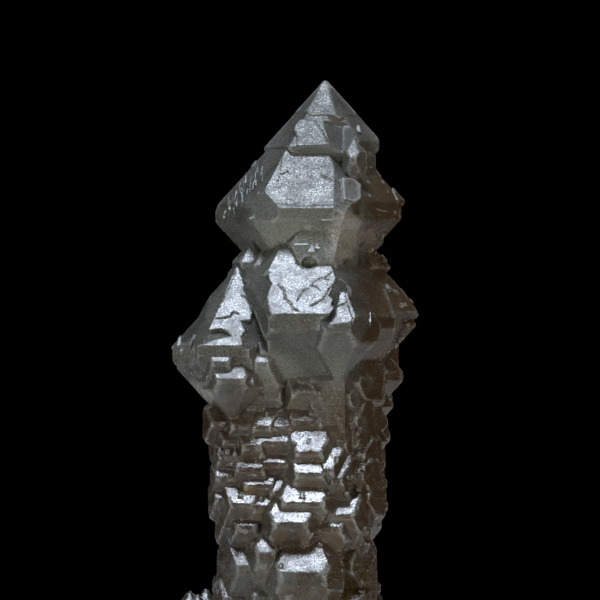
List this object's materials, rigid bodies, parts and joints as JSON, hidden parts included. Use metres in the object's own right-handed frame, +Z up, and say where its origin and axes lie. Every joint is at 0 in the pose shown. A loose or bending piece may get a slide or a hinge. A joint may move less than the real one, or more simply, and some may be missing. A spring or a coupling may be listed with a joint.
{
  "type": "quartz specimen",
  "caption": "Tall quartz specimen: stacked parallel crystals with sloping flat faces on a ledged trunk, sawn flat underneath to stand on a shelf.",
  "frame": {"origin": "middle of the bounding box at the flat sawn base", "axes": "+Z up along the crystals' own axis, the pictured side faces -Y, and +X is to the viewer's right"},
  "size_m": [0.0512, 0.0498, 0.112],
  "materials": {
    "quartz": "smoky grey natural crystal, frosted flat faces, iron-stained brown on the right flank and the trunk"
  },
  "bodies": {
    "root": {"quartz_specimen": "quartz"}
  },
  "joints": []
}
